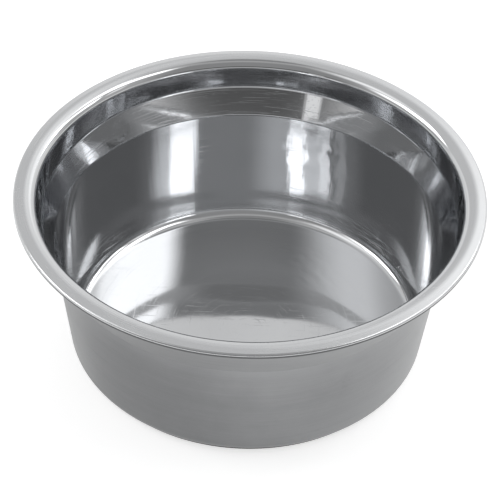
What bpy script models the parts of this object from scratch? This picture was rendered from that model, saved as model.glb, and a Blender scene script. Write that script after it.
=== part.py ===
"""A deep-drawn stainless bowl with a rolled rim, standing on a bonded non-slip ring.

The bowl is one pressed sheet: a slightly dished floor, a tapered wall, a sloping shoulder, a short
throat and a wide crowned flange whose edge is rolled under. Lengths are metres, +Z is up, and the
origin is the centre of the ring's underside, where the bowl meets the surface it stands on.
"""
from math import acos, ceil, cos, radians, tan, tau

import bmesh
import bpy
from mathutils import Matrix, Vector

# Overall size
RIM_RADIUS = 0.105
BOWL_HEIGHT = 0.0845

# Sheet metal, with every bend given as its radius on the face that is seen from above
SHEET = 0.0006
FLANGE_WIDTH = 0.01
FLANGE_CROWN = 0.008
FLANGE_SLOPE = radians(10)
CREST_INSET = 0.0044
EDGE_ROLL = 0.00125
HEM_LENGTH = 0.0014
THROAT_BEND = 0.0047
THROAT_DEPTH = 0.0133
THROAT_TAPER = 0.0019
THROAT_CREASE = 0.007
SHOULDER_DEPTH = 0.013
SHOULDER_STEP = 0.0056
SHOULDER_CREASE = 0.0035
WALL_TAPER = 0.0073
FLOOR_BEND = 0.0052
DISH_DEPTH = 0.0011
DISH_FOOT_RADIUS = 0.029
DISH_EDGE_RADIUS = 0.055
DISH_BEND = 0.6

# Non-slip ring
RING_THICKNESS = 0.0013
RING_WIDTH = 0.009
RING_REACH = 0.0018
RING_EDGE = 0.0004
GRIP_GROOVES = 2
GROOVE_WIDTH = 0.001
GROOVE_DEPTH = 0.0005
BOND_GAP = 0.0003

# Fineness of the round forms
TURN_STEPS = 72
BEND_STEP = radians(24)
SHARP_ANGLE = radians(50)
WELD_DISTANCE = 0.00001

# Places that follow from the sizes above
BASE_HEIGHT = RING_THICKNESS + BOND_GAP
FLOOR_HEIGHT = BASE_HEIGHT + SHEET
CREST_RADIUS = RIM_RADIUS - CREST_INSET
CREST_CORNER_HEIGHT = BOWL_HEIGHT + FLANGE_CROWN * (1 / cos(FLANGE_SLOPE) - 1)
EDGE_HEIGHT = CREST_CORNER_HEIGHT - CREST_INSET * tan(FLANGE_SLOPE)
THROAT_TOP_RADIUS = RIM_RADIUS - FLANGE_WIDTH
THROAT_TOP_HEIGHT = CREST_CORNER_HEIGHT - (CREST_RADIUS - THROAT_TOP_RADIUS) * tan(FLANGE_SLOPE)
THROAT_FOOT_RADIUS = THROAT_TOP_RADIUS - THROAT_TAPER
WALL_TOP_RADIUS = THROAT_FOOT_RADIUS - SHOULDER_STEP
WALL_FOOT_RADIUS = WALL_TOP_RADIUS - WALL_TAPER
THROAT_FOOT_HEIGHT = BOWL_HEIGHT - THROAT_DEPTH
WALL_TOP_HEIGHT = THROAT_FOOT_HEIGHT - SHOULDER_DEPTH
HEM_HEIGHT = EDGE_HEIGHT - 2 * EDGE_ROLL
HEM_END_RADIUS = RIM_RADIUS - EDGE_ROLL - HEM_LENGTH


def clear_scene():
    for item in list(bpy.data.objects):
        bpy.data.objects.remove(item, do_unlink=True)


def make_material(name, colour, metallic, roughness):
    material = bpy.data.materials.new(name)
    material.use_nodes = True
    shader = material.node_tree.nodes["Principled BSDF"]
    shader.inputs["Base Color"].default_value = (*colour, 1.0)
    shader.inputs["Metallic"].default_value = metallic
    shader.inputs["Roughness"].default_value = roughness
    return material


def directions_at(points, index):
    """Unit directions along the run into a corner and out of it."""
    return ((points[index] - points[index - 1]).normalized(),
            (points[index + 1] - points[index]).normalized())


def bend_angle(points, index):
    before, after = directions_at(points, index)
    return acos(max(-1.0, min(1.0, before.dot(after))))


def turns_right(points, index):
    before, after = directions_at(points, index)
    return before.x * after.y - before.y * after.x < 0


def offset_line(points, distance):
    """The same run of straight stretches, moved to its right by a distance."""
    moved = []
    for index, point in enumerate(points):
        if index == 0:
            along = (points[1] - point).normalized()
            moved.append(point + distance * Vector((along.y, -along.x)))
        elif index == len(points) - 1:
            along = (point - points[index - 1]).normalized()
            moved.append(point + distance * Vector((along.y, -along.x)))
        else:
            before, after = directions_at(points, index)
            side = Vector((before.y + after.y, -before.x - after.x)).normalized()
            across = side.dot(Vector((before.y, -before.x)))
            moved.append(point + side * (distance / across))
    return moved


def bend_reaches(points, radii):
    """Length that each bend takes from its two straights, cut back where two bends would meet."""
    reaches = [0.0] * len(points)
    for index in range(1, len(points) - 1):
        reaches[index] = radii[index] * tan(bend_angle(points, index) / 2)
    for index in range(1, len(points)):
        room = (points[index] - points[index - 1]).length
        taken = reaches[index - 1] + reaches[index]
        if taken > room:
            reaches[index - 1] *= room / taken
            reaches[index] *= room / taken
    return reaches


def round_corners(points, radii):
    """Replaces each corner that has a radius with an arc that meets both of its straights."""
    reaches = bend_reaches(points, radii)
    outline = [points[0]]
    for index in range(1, len(points) - 1):
        reach = reaches[index]
        if reach <= 0:
            outline.append(points[index])
            continue
        before, after = directions_at(points, index)
        angle = bend_angle(points, index)
        radius = reach / tan(angle / 2)
        start = points[index] - before * reach
        inward = (after - before).normalized()
        centre = points[index] + inward * (radius ** 2 + reach ** 2) ** 0.5
        turn = -angle if turns_right(points, index) else angle
        steps = max(2, ceil(angle / BEND_STEP))
        for step in range(steps + 1):
            spoke = Matrix.Rotation(turn * step / steps, 2) @ (start - centre)
            outline.append(centre + spoke)
    outline.append(points[-1])
    return outline


def sheet_corners():
    """Corners of the sheet's upper face, from the middle of the floor to the end of the hem."""
    return [
        (0.0, FLOOR_HEIGHT - DISH_DEPTH, 0.0),
        (DISH_FOOT_RADIUS, FLOOR_HEIGHT - DISH_DEPTH, DISH_BEND),
        (DISH_EDGE_RADIUS, FLOOR_HEIGHT, DISH_BEND),
        (WALL_FOOT_RADIUS, FLOOR_HEIGHT, FLOOR_BEND),
        (WALL_TOP_RADIUS, WALL_TOP_HEIGHT, SHOULDER_CREASE),
        (THROAT_FOOT_RADIUS, THROAT_FOOT_HEIGHT, THROAT_CREASE),
        (THROAT_TOP_RADIUS, THROAT_TOP_HEIGHT, THROAT_BEND),
        (CREST_RADIUS, CREST_CORNER_HEIGHT, FLANGE_CROWN),
        (RIM_RADIUS, EDGE_HEIGHT, EDGE_ROLL),
        (RIM_RADIUS, HEM_HEIGHT, EDGE_ROLL),
        (HEM_END_RADIUS, HEM_HEIGHT, 0.0),
    ]


def sheet_outline():
    """Section through the sheet: its upper face out to the hem, then its under face back."""
    corners = sheet_corners()
    upper = [Vector((radius, height)) for radius, height, bend in corners]
    upper_bends = [bend for radius, height, bend in corners]
    under = offset_line(upper, SHEET)
    under_bends = list(upper_bends)
    for index in range(1, len(upper) - 1):
        under_bends[index] += -SHEET if turns_right(upper, index) else SHEET
    return round_corners(upper, upper_bends) + list(reversed(round_corners(under, under_bends)))


def base_flat_radius():
    """Radius at which the flat base ends and its bend into the wall begins."""
    upper = [Vector((radius, height)) for radius, height, bend in sheet_corners()[2:5]]
    return WALL_FOOT_RADIUS - FLOOR_BEND * tan(bend_angle(upper, 1) / 2)


def ring_outline():
    """Section through the ring, down its outer side and back along its grooved underside."""
    outer = base_flat_radius() + RING_REACH
    inner = outer - RING_WIDTH
    land = (RING_WIDTH - GRIP_GROOVES * GROOVE_WIDTH) / (GRIP_GROOVES + 1)
    points = [(inner, RING_THICKNESS), (outer, RING_THICKNESS)]
    points += [(outer, RING_EDGE), (outer - RING_EDGE, 0.0)]
    for groove in range(GRIP_GROOVES):
        groove_outer = outer - (groove + 1) * land - groove * GROOVE_WIDTH
        groove_inner = groove_outer - GROOVE_WIDTH
        points += [(groove_outer, 0.0), (groove_outer, GROOVE_DEPTH)]
        points += [(groove_inner, GROOVE_DEPTH), (groove_inner, 0.0)]
    points += [(inner + RING_EDGE, 0.0), (inner, RING_EDGE)]
    return [Vector(point) for point in points]


def turned_object(name, outline, closed, material):
    """Spins a section about the Z axis into one smooth-shaded solid."""
    shape = bmesh.new()
    verts = [shape.verts.new((point.x, 0.0, point.y)) for point in outline]
    edges = [shape.edges.new(pair) for pair in zip(verts, verts[1:])]
    if closed:
        edges.append(shape.edges.new((verts[-1], verts[0])))
    bmesh.ops.spin(shape, geom=verts + edges, cent=(0, 0, 0), axis=(0, 0, 1), angle=tau,
                   steps=TURN_STEPS, use_duplicate=False)
    bmesh.ops.remove_doubles(shape, verts=shape.verts, dist=WELD_DISTANCE)
    bmesh.ops.recalc_face_normals(shape, faces=shape.faces)
    mesh = bpy.data.meshes.new(name)
    shape.to_mesh(mesh)
    shape.free()
    mesh.shade_smooth()
    mesh.set_sharp_from_angle(angle=SHARP_ANGLE)
    mesh.materials.append(material)
    item = bpy.data.objects.new(name, mesh)
    bpy.context.collection.objects.link(item)
    return item


def make_bowl_shell():
    steel = make_material("polished_steel", (0.60, 0.61, 0.62), 1.0, 0.12)
    return turned_object("bowl_shell", sheet_outline(), False, steel)


def make_non_slip_ring():
    rubber = make_material("black_rubber", (0.02, 0.02, 0.021), 0.0, 0.65)
    return turned_object("non_slip_ring", ring_outline(), True, rubber)


def main():
    clear_scene()
    make_bowl_shell()
    make_non_slip_ring()


main()
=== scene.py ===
"""Looks of the drawn steel bowl: polished and satin steel, a rubber ring, a pale studio and a camera.

The bowl and its ring are turned again from the section's named sizes, finely enough for mirror
polish, and stand exactly where the frame has them. Lengths are metres and +Z is up.
"""
from math import acos, ceil, cos, pi, radians, sin, tan

import bpy
from mathutils import Matrix, Vector


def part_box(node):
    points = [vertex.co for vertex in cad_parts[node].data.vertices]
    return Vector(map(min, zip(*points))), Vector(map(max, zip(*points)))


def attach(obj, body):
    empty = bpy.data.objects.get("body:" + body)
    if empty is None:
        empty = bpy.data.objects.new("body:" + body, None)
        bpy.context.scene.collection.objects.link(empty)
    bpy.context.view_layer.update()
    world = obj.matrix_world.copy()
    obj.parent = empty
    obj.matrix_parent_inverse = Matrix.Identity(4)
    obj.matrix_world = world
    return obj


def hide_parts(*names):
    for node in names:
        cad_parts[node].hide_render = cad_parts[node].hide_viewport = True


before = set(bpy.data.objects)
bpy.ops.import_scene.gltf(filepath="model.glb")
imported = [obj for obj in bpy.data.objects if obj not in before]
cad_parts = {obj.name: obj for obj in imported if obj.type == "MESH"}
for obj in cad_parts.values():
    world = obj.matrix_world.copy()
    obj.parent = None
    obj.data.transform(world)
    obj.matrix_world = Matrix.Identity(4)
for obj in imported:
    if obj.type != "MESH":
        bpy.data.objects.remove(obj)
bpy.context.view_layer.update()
shell_low, shell_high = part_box("bowl_shell")
ring_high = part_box("non_slip_ring")[1]

# Section of the sheet; the overall sizes come from the frame
RIM_RADIUS = shell_high.x
BOWL_HEIGHT = shell_high.z
DISH_HEIGHT = shell_low.z
SHEET = 0.0006
FLANGE_WIDTH = 0.01
FLANGE_CROWN = 0.008
FLANGE_SLOPE = radians(10)
CREST_INSET = 0.0044
EDGE_ROLL = 0.00125
HEM_LENGTH = 0.0014
THROAT_BEND = 0.0047
THROAT_DEPTH = 0.0133
THROAT_TAPER = 0.0019
THROAT_CREASE = 0.007
SHOULDER_DEPTH = 0.013
SHOULDER_STEP = 0.0056
SHOULDER_CREASE = 0.0035
WALL_TAPER = 0.0073
FLOOR_BEND = 0.0052
DISH_DEPTH = 0.0011
DISH_FOOT_RADIUS = 0.029
DISH_EDGE_RADIUS = 0.055
DISH_BEND = 0.6

# Section of the ring
RING_OUTER = ring_high.x
RING_THICKNESS = ring_high.z
RING_WIDTH = 0.009
RING_EDGE = 0.0004
GRIP_GROOVES = 2
GROOVE_WIDTH = 0.001
GROOVE_DEPTH = 0.0005
RING_ROUND = 0.00012

# Material slots of the bowl, and of the ring
POLISHED = 0
SATIN = 1
RUBBER = 0

# The satin, with its painted shade under the rolled edge, takes over in the outermost part of the rim, this
# angle above the rolled edge's middle
HEM_WIDTH = 0.004
HEM_LINE = radians(22)

# Fineness of the turned meshes
TURN_STEPS = 360
BEND_STEP = radians(6)
LONGEST_RUN = 0.004
NEARLY_ZERO = 1e-7

# Camera at the photograph's angle, in the photograph's square frame
VIEW_DISTANCE = 1.05
VIEW_CENTRE_HEIGHT = 0.084
VIEW_ELEVATION = radians(39.889)
CAMERA_PITCH = radians(41.312)
CAMERA_YAW = radians(0.048)
CAMERA_ROLL = radians(1.916)
FOCAL_PIXELS = 2369.2
FRAME_PIXELS = 500
SENSOR_WIDTH = 36.0
NEAREST_SEEN = 0.05

# Small dents, as (place, full effect within, none beyond, dents per metre, depth), and a rubbed place
DENTED_PATCHES = [
    ((0.031, 0.079, 0.040), 0.010, 0.024, 130, 0.00014),
    ((-0.062, 0.065, 0.064), 0.002, 0.006, 240, 0.00016),
]
RUBBED_PATCH = ((0.041, -0.074, 0.040), 0.001, 0.010)

# Distances from the axis between which a look sets in; the throat's ends between its two
WALL_EDGE = (0.070, 0.078)
RIM_EDGE = (RIM_RADIUS - FLANGE_WIDTH, RIM_RADIUS - FLANGE_WIDTH / 2)
THROAT_END = (0.0955, 0.097)
# Painted shade: the satin darkens to the hem's shade colour between these two distances, under the rolled
# edge
HEM_SHADE_EDGE = (RIM_RADIUS - 0.005, RIM_RADIUS - 0.003)

# Heights between which a look sets in
THROAT_FOOT_EDGE = (0.070, 0.073)
# Painted light: the satin wall is painted lighter between these heights, towards its top
UPPER_WALL_LIGHT_EDGE = (0.038, 0.060)
WORN_LAND_EDGE = (0.00025, 0.0)

# Turned marks fade within this distance of the axis, and marks in the throat are weaker by this share
AXIS_EASE = 0.03
THROAT_CALM = 0.7

# Slants of the stray scratches, and how softly a scratch's sides rise
POLISHED_SLANTS = [(0.3, 0.5, 0.7), (1.1, 0.2, 2.3)]
SATIN_SLANTS = [(0.9, 0.1, 0.4), (0.2, 1.2, 1.9)]
SCRATCH_SOFTNESS = 0.05

# Colours between which each material varies
POLISHED_COLOURS = [(0.540, 0.547, 0.557, 1.0), (0.595, 0.601, 0.610, 1.0)]
# Satin colours: partly the satin's own duller tone, partly painted shade, set far darker than the polished
# steel of the same sheet
SATIN_SHADED_COLOURS = [(0.180, 0.183, 0.187, 1.0), (0.330, 0.334, 0.340, 1.0)]
# Painted shade under the rolled edge and on the hem, standing in for the shadow gap below the rim
HEM_PAINTED_SHADE = (0.105, 0.107, 0.11, 1.0)
RUBBER_COLOURS = [(0.016, 0.016, 0.017, 1.0), (0.042, 0.041, 0.040, 1.0)]
WHITE = (1.0, 1.0, 1.0, 1.0)

# Light is followed this often from mirror to mirror, which the narrow throat needs
MIRROR_BOUNCES = 10

# Floor: pale, and seen white by the camera and in reflections, with the shadow kept
FLOOR_SIZE = 6.0
FLOOR_COLOUR = (0.60, 0.60, 0.60, 1.0)
FLOOR_ROUGHNESS = 0.9
FLOOR_GLOW = 0.66

# Studio dome: each soft panel is (name, azimuth, width, side edge, elevation, height, top edge, level),
# angles in degrees. Azimuth 0 is behind the bowl, 90 its right side; a later panel lies over earlier ones.
# The first is the white backdrop, seen behind the floor and in the metal; dark_front reaches down over it.
DOME_LEVEL = 0.6
FULL_TURN = 360
PANELS = [
    ("horizon", 0, FULL_TURN, 0, 0, 18, 4, 1.0),
    ("ceiling", 0, FULL_TURN, 0, 90, 24, 10, 0.36),
    ("dark_front", 180, 110, 30, 32, 60, 20, 0.38),
    ("low_front", 180, 84, 24, 11, 8, 4, 0.12),
    ("front_lamp", -149, 8, 2, 8, 3, 2, 1.2),
    ("back_wall", -10, 110, 26, 34, 56, 26, 0.80),
    ("back_right", 30, 40, 36, 36, 40, 24, 1.55),
    ("back_low", 0, 130, 20, 17, 14, 10, 1.1),
    ("back_top", 0, 110, 50, 66, 18, 12, 0.8),
    ("left_high", -95, 60, 50, 56, 18, 12, 1.5),
    ("left_glow", -99, 22, 22, 35, 15, 6, 2.4),
    ("left_window", -78, 30, 8, 35, 15, 4, 6.0),
    ("right_high", 84, 76, 20, 56, 14, 6, 3.0),
    ("right_pane_1", 52, 17, 3, 36.5, 10, 3, 6.0),
    ("right_pane_2", 68, 15, 3, 36.5, 10, 3, 2.4),
    ("right_pane_3", 82, 13, 4, 36.5, 10, 3, 3.4),
    ("right_pane_4", 101, 11, 4, 36.5, 10, 3, 1.2),
]


def directions_at(points, index):
    """Unit directions along the run into a corner and out of it."""
    return ((points[index] - points[index - 1]).normalized(),
            (points[index + 1] - points[index]).normalized())


def offset_line(points, distance):
    """The same run of straight stretches, moved to its right by a distance."""
    moved = []
    for index, point in enumerate(points):
        if index in (0, len(points) - 1):
            start = min(index, len(points) - 2)
            along = (points[start + 1] - points[start]).normalized()
            moved.append(point + distance * Vector((along.y, -along.x)))
        else:
            before, after = directions_at(points, index)
            side = Vector((before.y + after.y, -before.x - after.x)).normalized()
            across = side.dot(Vector((before.y, -before.x)))
            moved.append(point + side * (distance / across))
    return moved


def bend_angle(points, index):
    before, after = directions_at(points, index)
    return acos(max(-1.0, min(1.0, before.dot(after))))


def turns_right(points, index):
    before, after = directions_at(points, index)
    return before.x * after.y - before.y * after.x < 0


def bend_reaches(points, radii):
    """Length that each bend takes from its two straights, cut back where two bends would meet."""
    reaches = [0.0] * len(points)
    for index in range(1, len(points) - 1):
        reaches[index] = radii[index] * tan(bend_angle(points, index) / 2)
    for index in range(1, len(points)):
        room = (points[index] - points[index - 1]).length
        taken = reaches[index - 1] + reaches[index]
        if taken > room:
            reaches[index - 1] *= room / taken
            reaches[index] *= room / taken
    return reaches


def smooth_run(points, radii):
    """Stretches of a run with rounded corners, as (start, direction, end, direction) each."""
    reaches = bend_reaches(points, radii)
    stretches = []
    here = points[0]
    for index in range(1, len(points)):
        heading = (points[index] - points[index - 1]).normalized()
        stop = points[index] - heading * reaches[index]
        length = (stop - here).length
        if length > NEARLY_ZERO:
            pieces = ceil(length / LONGEST_RUN)
            for piece in range(pieces):
                stretches.append((here.lerp(stop, piece / pieces), heading,
                                  here.lerp(stop, (piece + 1) / pieces), heading))
        here = stop
        if reaches[index] <= 0:
            continue
        before, after = directions_at(points, index)
        angle = bend_angle(points, index)
        radius = reaches[index] / tan(angle / 2)
        centre = points[index] + (after - before).normalized() * (radius ** 2 + reaches[index] ** 2) ** 0.5
        turn = -angle if turns_right(points, index) else angle
        steps = max(2, ceil(angle / BEND_STEP), ceil(angle * radius / LONGEST_RUN))
        spoke = here - centre
        for step in range(steps):
            first = Matrix.Rotation(turn * step / steps, 2)
            last = Matrix.Rotation(turn * (step + 1) / steps, 2)
            stretches.append((centre + first @ spoke, first @ before, centre + last @ spoke, last @ before))
        here = stretches[-1][2]
    return stretches


def turned_back(stretches):
    return [(end, -leaving, start, -entering) for start, entering, end, leaving in reversed(stretches)]


def sheet_section():
    """The sheet's section: its upper face out to the hem, the hem's cut end and the under face back."""
    dish_height = DISH_HEIGHT + SHEET
    floor_height = dish_height + DISH_DEPTH
    throat_top = RIM_RADIUS - FLANGE_WIDTH
    throat_foot = throat_top - THROAT_TAPER
    wall_top = throat_foot - SHOULDER_STEP
    throat_foot_height = BOWL_HEIGHT - THROAT_DEPTH
    crest_radius = RIM_RADIUS - CREST_INSET
    crest_height = BOWL_HEIGHT + FLANGE_CROWN * (1 / cos(FLANGE_SLOPE) - 1)
    edge_height = crest_height - CREST_INSET * tan(FLANGE_SLOPE)
    throat_top_height = crest_height - (crest_radius - throat_top) * tan(FLANGE_SLOPE)
    hem_height = edge_height - 2 * EDGE_ROLL
    corners = [
        (0.0, dish_height, 0.0),
        (DISH_FOOT_RADIUS, dish_height, DISH_BEND),
        (DISH_EDGE_RADIUS, floor_height, DISH_BEND),
        (wall_top - WALL_TAPER, floor_height, FLOOR_BEND),
        (wall_top, throat_foot_height - SHOULDER_DEPTH, SHOULDER_CREASE),
        (throat_foot, throat_foot_height, THROAT_CREASE),
        (throat_top, throat_top_height, THROAT_BEND),
        (crest_radius, crest_height, FLANGE_CROWN),
        (RIM_RADIUS, edge_height, EDGE_ROLL),
        (RIM_RADIUS, hem_height, EDGE_ROLL),
        (RIM_RADIUS - EDGE_ROLL - HEM_LENGTH, hem_height, 0.0),
    ]
    upper = [Vector((radius, height)) for radius, height, bend in corners]
    bends = [bend for radius, height, bend in corners]
    under = offset_line(upper, SHEET)
    under_bends = list(bends)
    for index in range(1, len(upper) - 1):
        under_bends[index] += -SHEET if turns_right(upper, index) else SHEET
    bead_middle = (edge_height + hem_height) / 2
    polished_run = smooth_run(upper, bends)
    hem_start = bead_middle + EDGE_ROLL * sin(HEM_LINE)
    hem_inner = RIM_RADIUS - HEM_WIDTH
    # The lower half of the rolled edge takes the satin slot, which carries the painted shade there
    hem_run = [piece for piece in polished_run if piece[0].x > hem_inner and piece[0].y < hem_start]
    polished_run = polished_run[:-len(hem_run)]
    under_run = turned_back(smooth_run(under, under_bends))
    cut = (under[-1] - upper[-1]).normalized()
    end_run = [(upper[-1], cut, under[-1], cut)]
    return [(polished_run, POLISHED), (hem_run + end_run + under_run, SATIN)]


def ring_section():
    """The ring's section, down its outer side and back along its grooved underside."""
    inner = RING_OUTER - RING_WIDTH
    land = (RING_WIDTH - GRIP_GROOVES * GROOVE_WIDTH) / (GRIP_GROOVES + 1)
    middle = RING_OUTER - RING_WIDTH / 2
    points = [(middle, RING_THICKNESS), (RING_OUTER, RING_THICKNESS)]
    points += [(RING_OUTER, RING_EDGE), (RING_OUTER - RING_EDGE, 0.0)]
    for groove in range(GRIP_GROOVES):
        groove_outer = RING_OUTER - (groove + 1) * land - groove * GROOVE_WIDTH
        groove_inner = groove_outer - GROOVE_WIDTH
        points += [(groove_outer, 0.0), (groove_outer, GROOVE_DEPTH)]
        points += [(groove_inner, GROOVE_DEPTH), (groove_inner, 0.0)]
    points += [(inner + RING_EDGE, 0.0), (inner, RING_EDGE), (inner, RING_THICKNESS)]
    points.append((middle, RING_THICKNESS))
    corners = [Vector(point) for point in points]
    rounds = [0.0] + [RING_ROUND] * (len(corners) - 2) + [0.0]
    return [(smooth_run(corners, rounds), RUBBER)]


def turned_mesh(name, section):
    """Turns a section about Z into one closed mesh whose normals are worked out from the section.

    The section runs with the solid on its right; it starts and ends on the axis, or is a closed loop.
    """
    turns = [(cos(2 * pi * step / TURN_STEPS), sin(2 * pi * step / TURN_STEPS)) for step in range(TURN_STEPS)]
    stretches = [(stretch, slot) for run, slot in section for stretch in run]
    points = [stretch[0] for stretch, slot in stretches]
    loop = points[0].x > NEARLY_ZERO
    if not loop:
        points.append(stretches[-1][0][2])
    verts, rings = [], []
    for point in points:
        if point.x < NEARLY_ZERO:
            rings.append([len(verts)] * TURN_STEPS)
            verts.append((0.0, 0.0, point.y))
            continue
        rings.append(list(range(len(verts), len(verts) + TURN_STEPS)))
        verts += [(point.x * turn_cos, point.x * turn_sin, point.y) for turn_cos, turn_sin in turns]
    faces, slots, normals = [], [], []
    for index, ((start, leaving, end, entering), slot) in enumerate(stretches):
        first, last = rings[index], rings[(index + 1) % len(rings)]
        for step in range(TURN_STEPS):
            after = (step + 1) % TURN_STEPS
            corners = [(first[step], leaving, step), (last[step], entering, step),
                       (last[after], entering, after), (first[after], leaving, after)]
            if first[step] == first[after]:
                corners.pop()
            if last[step] == last[after]:
                corners.pop(2)
            faces.append([corner[0] for corner in corners])
            slots.append(slot)
            for _, along, turn in corners:
                normals.append((-along.y * turns[turn][0], -along.y * turns[turn][1], along.x))
    mesh = bpy.data.meshes.new(name)
    mesh.from_pydata(verts, [], faces)
    mesh.polygons.foreach_set("material_index", slots)
    mesh.shade_smooth()
    mesh.normals_split_custom_set(normals)
    mesh.update()
    return mesh


def new_material(name):
    material = bpy.data.materials.new(name)
    material.use_nodes = True
    tree = material.node_tree
    return material, tree, tree.nodes["Principled BSDF"]


def fill_input(tree, socket, value):
    """Sets a socket to a number, a vector or a colour, or links it to another socket."""
    if isinstance(value, bpy.types.NodeSocket):
        tree.links.new(value, socket)
    else:
        socket.default_value = value


def math_node(tree, operation, *values):
    node = tree.nodes.new("ShaderNodeMath")
    node.operation = operation
    for socket, value in zip(node.inputs, values):
        fill_input(tree, socket, value)
    return node.outputs[0]


def soft_step(tree, value, start, end, low=0.0, high=1.0):
    """Goes smoothly from low to high while the value goes from start to end."""
    node = tree.nodes.new("ShaderNodeMapRange")
    node.interpolation_type = "SMOOTHSTEP"
    tree.links.new(value, node.inputs["Value"])
    node.inputs["From Min"].default_value = start
    node.inputs["From Max"].default_value = end
    node.inputs["To Min"].default_value = low
    node.inputs["To Max"].default_value = high
    return node.outputs["Result"]


def mix_node(tree, data_type, sockets, values):
    node = tree.nodes.new("ShaderNodeMix")
    node.data_type = data_type
    for index, value in zip(sockets, values):
        fill_input(tree, node.inputs[index], value)
    return node


def mix_values(tree, share, first, second):
    """A number between two, by a share."""
    return mix_node(tree, "FLOAT", (0, 2, 3), (share, first, second)).outputs[0]


def tinted(tree, share, first, second):
    """A colour between two, by a share that varies over the surface."""
    return mix_node(tree, "RGBA", (0, 6, 7), (share, first, second)).outputs[2]


def place_parts(tree):
    """Object coordinates, height, distance from the axis, and the turn's cosine and sine, eased at it."""
    place = tree.nodes.new("ShaderNodeTexCoord")
    split = tree.nodes.new("ShaderNodeSeparateXYZ")
    tree.links.new(place.outputs["Object"], split.inputs[0])
    x, y, z = split.outputs
    out = math_node(tree, "SQRT", math_node(tree, "ADD", math_node(tree, "MULTIPLY", x, x),
                                            math_node(tree, "MULTIPLY", y, y)))
    safe = math_node(tree, "MAXIMUM", out, AXIS_EASE)
    return {"place": place.outputs["Object"], "z": z, "out": out,
            "cos": math_node(tree, "DIVIDE", x, safe), "sin": math_node(tree, "DIVIDE", y, safe)}


def combine(tree, x, y, z):
    node = tree.nodes.new("ShaderNodeCombineXYZ")
    for socket, value in zip(node.inputs, (x, y, z)):
        fill_input(tree, socket, value)
    return node.outputs[0]


def turned_place(tree, parts, round_scale, along_scale):
    """Coordinates that run slowly around the axis and quickly along the section, for turned marks."""
    along = math_node(tree, "ADD", parts["out"], parts["z"])
    return combine(tree, math_node(tree, "MULTIPLY", parts["cos"], round_scale),
                   math_node(tree, "MULTIPLY", parts["sin"], round_scale),
                   math_node(tree, "MULTIPLY", along, along_scale))


def noise(tree, vector, scale, detail=2.0, roughness=0.5):
    node = tree.nodes.new("ShaderNodeTexNoise")
    tree.links.new(vector, node.inputs["Vector"])
    node.inputs["Scale"].default_value = scale
    node.inputs["Detail"].default_value = detail
    node.inputs["Roughness"].default_value = roughness
    return node.outputs["Fac"]


def bump(tree, height, depth, normal=None):
    node = tree.nodes.new("ShaderNodeBump")
    tree.links.new(height, node.inputs["Height"])
    node.inputs["Distance"].default_value = depth
    if normal is not None:
        tree.links.new(normal, node.inputs["Normal"])
    return node.outputs["Normal"]


def streaks(tree, vector, keep):
    """Hairline scratches: the crests of a noise that is drawn out along the scratch."""
    return soft_step(tree, noise(tree, vector, scale=1.0, detail=1.0), keep, keep + SCRATCH_SOFTNESS)


def slanted_place(tree, parts, turn, along_scale, across_scale):
    """Object coordinates turned about all axes and drawn out along one of them, for stray scratches."""
    node = tree.nodes.new("ShaderNodeMapping")
    tree.links.new(parts["place"], node.inputs["Vector"])
    node.inputs["Rotation"].default_value = turn
    node.inputs["Scale"].default_value = (along_scale, across_scale, across_scale)
    return node.outputs["Vector"]


def with_strays(tree, parts, scratch, slants, along_scale, across_scale, keep):
    """Turned scratches with stray ones at each slant added."""
    for slant in slants:
        stray = streaks(tree, slanted_place(tree, parts, slant, along_scale, across_scale), keep)
        scratch = math_node(tree, "MAXIMUM", scratch, stray)
    return scratch


def near_point(tree, parts, point, full, none):
    """1 within the first distance of a point, falling to 0 at the second."""
    node = tree.nodes.new("ShaderNodeVectorMath")
    node.operation = "DISTANCE"
    tree.links.new(parts["place"], node.inputs[0])
    node.inputs[1].default_value = point
    return soft_step(tree, node.outputs["Value"], full, none, low=1.0, high=0.0)


def weighted(tree, *terms):
    """Sum of (value, weight) terms."""
    total = None
    for value, weight in terms:
        term = math_node(tree, "MULTIPLY", value, weight)
        total = term if total is None else math_node(tree, "ADD", total, term)
    return total


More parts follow.
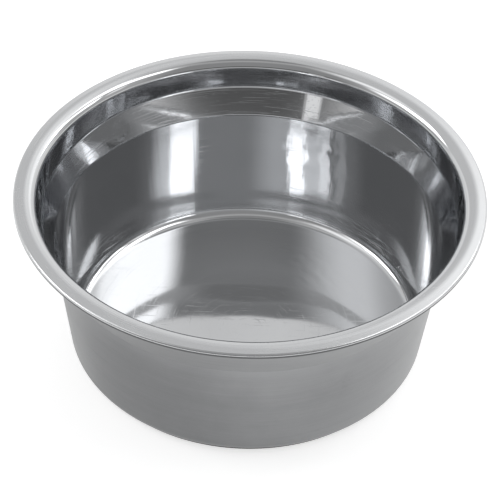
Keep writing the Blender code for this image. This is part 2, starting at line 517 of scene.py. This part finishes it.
def polished_steel():
    """Mirror-polished inside and flange: smudges, hairlines, scratches, draw marks, dents, a softer rim."""
    material, tree, shader = new_material("polished_steel")
    parts = place_parts(tree)
    smudge = noise(tree, parts["place"], scale=24.0, detail=4.0, roughness=0.6)
    hairline = turned_place(tree, parts, round_scale=1.5, along_scale=900.0)
    hairline = noise(tree, hairline, scale=1.0, detail=2.0, roughness=0.6)
    scratch = streaks(tree, turned_place(tree, parts, round_scale=2.6, along_scale=2400.0), keep=0.66)
    scratch = with_strays(tree, parts, scratch, POLISHED_SLANTS,
                          along_scale=50.0, across_scale=1900.0, keep=0.69)
    rim = soft_step(tree, parts["out"], *RIM_EDGE)
    wall = soft_step(tree, parts["out"], *WALL_EDGE)
    throat = math_node(tree, "MULTIPLY", soft_step(tree, parts["z"], *THROAT_FOOT_EDGE),
                       soft_step(tree, parts["out"], *THROAT_END, low=1.0, high=0.0))
    calm = math_node(tree, "SUBTRACT", 1.0, math_node(tree, "MULTIPLY", throat, THROAT_CALM))
    shader.inputs["Metallic"].default_value = 1.0
    tint = weighted(tree, (smudge, 0.7), (hairline, 0.3))
    tree.links.new(tinted(tree, tint, *POLISHED_COLOURS), shader.inputs["Base Color"])
    rough = soft_step(tree, smudge, start=0.35, end=0.75, low=0.035, high=0.075)
    rough = math_node(tree, "ADD", rough, weighted(tree, (hairline, 0.02), (scratch, 0.08), (rim, 0.14)))
    tree.links.new(math_node(tree, "MULTIPLY", rough, calm), shader.inputs["Roughness"])
    waves = noise(tree, turned_place(tree, parts, round_scale=2.2, along_scale=14.0), scale=1.0, detail=1.0)
    waves = math_node(tree, "MULTIPLY", waves, wall)
    normal = bump(tree, math_node(tree, "MULTIPLY", waves, calm), depth=0.00008)
    draw_marks = turned_place(tree, parts, round_scale=42.0, along_scale=5.0)
    draw_marks = noise(tree, draw_marks, scale=1.0, detail=1.0)
    draw_marks = math_node(tree, "MULTIPLY", math_node(tree, "MULTIPLY", draw_marks, wall), calm)
    normal = bump(tree, draw_marks, 0.000012, normal)
    for point, full, none, count, depth in DENTED_PATCHES:
        dents = noise(tree, parts["place"], scale=count, detail=1.0)
        patch = math_node(tree, "MULTIPLY", dents, near_point(tree, parts, point, full, none))
        normal = bump(tree, patch, depth, normal)
    normal = bump(tree, math_node(tree, "MULTIPLY", hairline, calm), 0.000001, normal)
    normal = bump(tree, math_node(tree, "MULTIPLY", scratch, calm), 0.0000015, normal)
    tree.links.new(normal, shader.inputs["Normal"])
    return material


def satin_steel():
    """Satin outside, its base darkened by painted shade: fine turned brushing, faint bands, uneven tone,
    scratches, a rub, painted light on the upper wall and right side, and painted shade under the rolled edge.
    """
    material, tree, shader = new_material("satin_steel")
    parts = place_parts(tree)
    brush = turned_place(tree, parts, round_scale=2.0, along_scale=1400.0)
    brush = noise(tree, brush, scale=1.0, detail=4.0, roughness=0.75)
    bands = turned_place(tree, parts, round_scale=0.6, along_scale=95.0)
    bands = noise(tree, bands, scale=1.0, detail=3.0, roughness=0.6)
    mottle = noise(tree, parts["place"], scale=38.0, detail=4.0, roughness=0.6)
    uneven = noise(tree, turned_place(tree, parts, round_scale=0.9, along_scale=6.0), scale=1.0, detail=1.0)
    scratch = streaks(tree, turned_place(tree, parts, round_scale=2.4, along_scale=1500.0), keep=0.67)
    scratch = with_strays(tree, parts, scratch, SATIN_SLANTS,
                          along_scale=70.0, across_scale=1300.0, keep=0.71)
    rubbed = near_point(tree, parts, *RUBBED_PATCH)
    specks = noise(tree, parts["place"], scale=420.0, detail=3.0, roughness=0.7)
    rub = math_node(tree, "MULTIPLY", rubbed, soft_step(tree, specks, start=0.5, end=0.65))
    # Painted shade: the outermost satin, under the rolled edge, takes a dark shade colour
    hem = soft_step(tree, parts["out"], *HEM_SHADE_EDGE)
    shader.inputs["Metallic"].default_value = 1.0
    # Painted light: 1 on the upper wall, which is painted lighter
    upper = soft_step(tree, parts["z"], *UPPER_WALL_LIGHT_EDGE)
    grain = weighted(tree, (brush, 0.13), (bands, 0.13), (mottle, 0.22), (uneven, 0.28))
    # Painted light: the tone is raised on the right side (+X, by the cosine) and on the upper wall, where the
    # light falls
    tone = math_node(tree, "ADD", grain, weighted(tree, (parts["cos"], 0.12), (upper, 0.1)))
    colour = tinted(tree, soft_step(tree, tone, start=0.18, end=0.68), *SATIN_SHADED_COLOURS)
    tree.links.new(tinted(tree, hem, colour, HEM_PAINTED_SHADE), shader.inputs["Base Color"])
    rough = soft_step(tree, mottle, start=0.3, end=0.7, low=0.30, high=0.36)
    rough = math_node(tree, "ADD", rough, weighted(tree, (brush, 0.05), (scratch, 0.08), (rub, 0.12)))
    tree.links.new(rough, shader.inputs["Roughness"])
    normal = bump(tree, bands, depth=0.00002)
    normal = bump(tree, brush, 0.000004, normal)
    normal = bump(tree, scratch, 0.000006, normal)
    normal = bump(tree, rub, 0.00001, normal)
    tree.links.new(normal, shader.inputs["Normal"])
    return material


def black_rubber():
    """Moulded rubber: a fine grain, dusty bloom and slightly shiny worn lands."""
    material, tree, shader = new_material("black_rubber")
    parts = place_parts(tree)
    grain = noise(tree, parts["place"], scale=2600.0, detail=3.0, roughness=0.6)
    dust = noise(tree, parts["place"], scale=120.0, detail=4.0, roughness=0.65)
    bloom = soft_step(tree, dust, start=0.4, end=0.75)
    tree.links.new(tinted(tree, bloom, *RUBBER_COLOURS), shader.inputs["Base Color"])
    worn = soft_step(tree, parts["z"], *WORN_LAND_EDGE, low=0.0, high=0.16)
    rough = soft_step(tree, dust, start=0.3, end=0.8, low=0.62, high=0.78)
    tree.links.new(math_node(tree, "SUBTRACT", rough, worn), shader.inputs["Roughness"])
    tree.links.new(bump(tree, grain, depth=0.00004), shader.inputs["Normal"])
    return material


def add_object(name, mesh):
    item = bpy.data.objects.new(name, mesh)
    bpy.context.collection.objects.link(item)
    return item


def make_bowl():
    mesh = turned_mesh("bowl", sheet_section())
    mesh.materials.append(polished_steel())
    mesh.materials.append(satin_steel())
    bowl = add_object("bowl", mesh)
    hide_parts("bowl_shell")
    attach(bowl, "root")


def make_ring():
    mesh = turned_mesh("rubber_ring", ring_section())
    mesh.materials.append(black_rubber())
    ring = add_object("rubber_ring", mesh)
    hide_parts("non_slip_ring")
    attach(ring, "root")


def make_floor():
    mesh = bpy.data.meshes.new("floor")
    half = FLOOR_SIZE / 2
    corners = [(-half, -half, 0), (half, -half, 0), (half, half, 0), (-half, half, 0)]
    mesh.from_pydata(corners, [], [(0, 1, 2, 3)])
    material, tree, shader = new_material("studio_floor")
    shader.inputs["Base Color"].default_value = FLOOR_COLOUR
    shader.inputs["Roughness"].default_value = FLOOR_ROUGHNESS
    shader.inputs["Specular IOR Level"].default_value = 0.0
    path = tree.nodes.new("ShaderNodeLightPath")
    mirrored = math_node(tree, "MAXIMUM", path.outputs["Is Glossy Ray"], path.outputs["Is Transmission Ray"])
    seen = math_node(tree, "MAXIMUM", path.outputs["Is Camera Ray"], mirrored)
    shader.inputs["Emission Color"].default_value = WHITE
    tree.links.new(math_node(tree, "MULTIPLY", seen, FLOOR_GLOW), shader.inputs["Emission Strength"])
    mesh.materials.append(material)
    add_object("floor", mesh)


def inside(tree, offset, extent, edge):
    """1 near the middle of an extent, falling to 0 across the soft edge at either end."""
    inner, outer = radians((extent - edge) / 2), radians((extent + edge) / 2)
    return soft_step(tree, math_node(tree, "ABSOLUTE", offset), inner, outer, low=1.0, high=0.0)


def panel_share(tree, azimuth, elevation, panel):
    """How far a direction lies inside a soft-edged panel, from 0 to 1."""
    _, middle, width, side_edge, height_middle, height, top_edge = panel
    share = inside(tree, math_node(tree, "SUBTRACT", elevation, radians(height_middle)), height, top_edge)
    if width < FULL_TURN:
        aside = math_node(tree, "WRAP", math_node(tree, "SUBTRACT", azimuth, radians(middle)), pi, -pi)
        share = math_node(tree, "MULTIPLY", share, inside(tree, aside, width, side_edge))
    return share


def make_world():
    world = bpy.data.worlds.new("studio")
    world.use_nodes = True
    bpy.context.scene.world = world
    tree = world.node_tree
    place = tree.nodes.new("ShaderNodeTexCoord")
    split = tree.nodes.new("ShaderNodeSeparateXYZ")
    tree.links.new(place.outputs["Generated"], split.inputs[0])
    x, y, z = split.outputs
    azimuth = math_node(tree, "ARCTAN2", x, y)
    elevation = math_node(tree, "ARCSINE", z)
    light = DOME_LEVEL
    for *panel, level in PANELS:
        light = mix_values(tree, panel_share(tree, azimuth, elevation, panel), light, level)
    background = tree.nodes["Background"]
    background.inputs["Color"].default_value = WHITE
    tree.links.new(light, background.inputs["Strength"])


def make_camera():
    data = bpy.data.cameras.new("camera")
    data.sensor_width = SENSOR_WIDTH
    data.lens = FOCAL_PIXELS * SENSOR_WIDTH / FRAME_PIXELS
    data.clip_start = NEAREST_SEEN
    camera = add_object("camera", data)
    ahead = Vector((sin(CAMERA_YAW), cos(CAMERA_YAW), 0.0))
    level = Vector((cos(CAMERA_YAW), -sin(CAMERA_YAW), 0.0))
    forward = cos(CAMERA_PITCH) * ahead - Vector((0.0, 0.0, sin(CAMERA_PITCH)))
    upright = level.cross(forward)
    right = cos(CAMERA_ROLL) * level + sin(CAMERA_ROLL) * upright
    up = cos(CAMERA_ROLL) * upright - sin(CAMERA_ROLL) * level
    turn = Matrix((right, up, -forward)).transposed()
    height = VIEW_CENTRE_HEIGHT + VIEW_DISTANCE * sin(VIEW_ELEVATION)
    place = Vector((0, -VIEW_DISTANCE * cos(VIEW_ELEVATION), height))
    camera.matrix_world = Matrix.Translation(place) @ turn.to_4x4()
    bpy.context.scene.camera = camera


make_camera()
make_floor()
make_world()
make_bowl()
make_ring()
bpy.context.scene.view_settings.view_transform = "Standard"
bpy.context.scene.cycles.glossy_bounces = MIRROR_BOUNCES
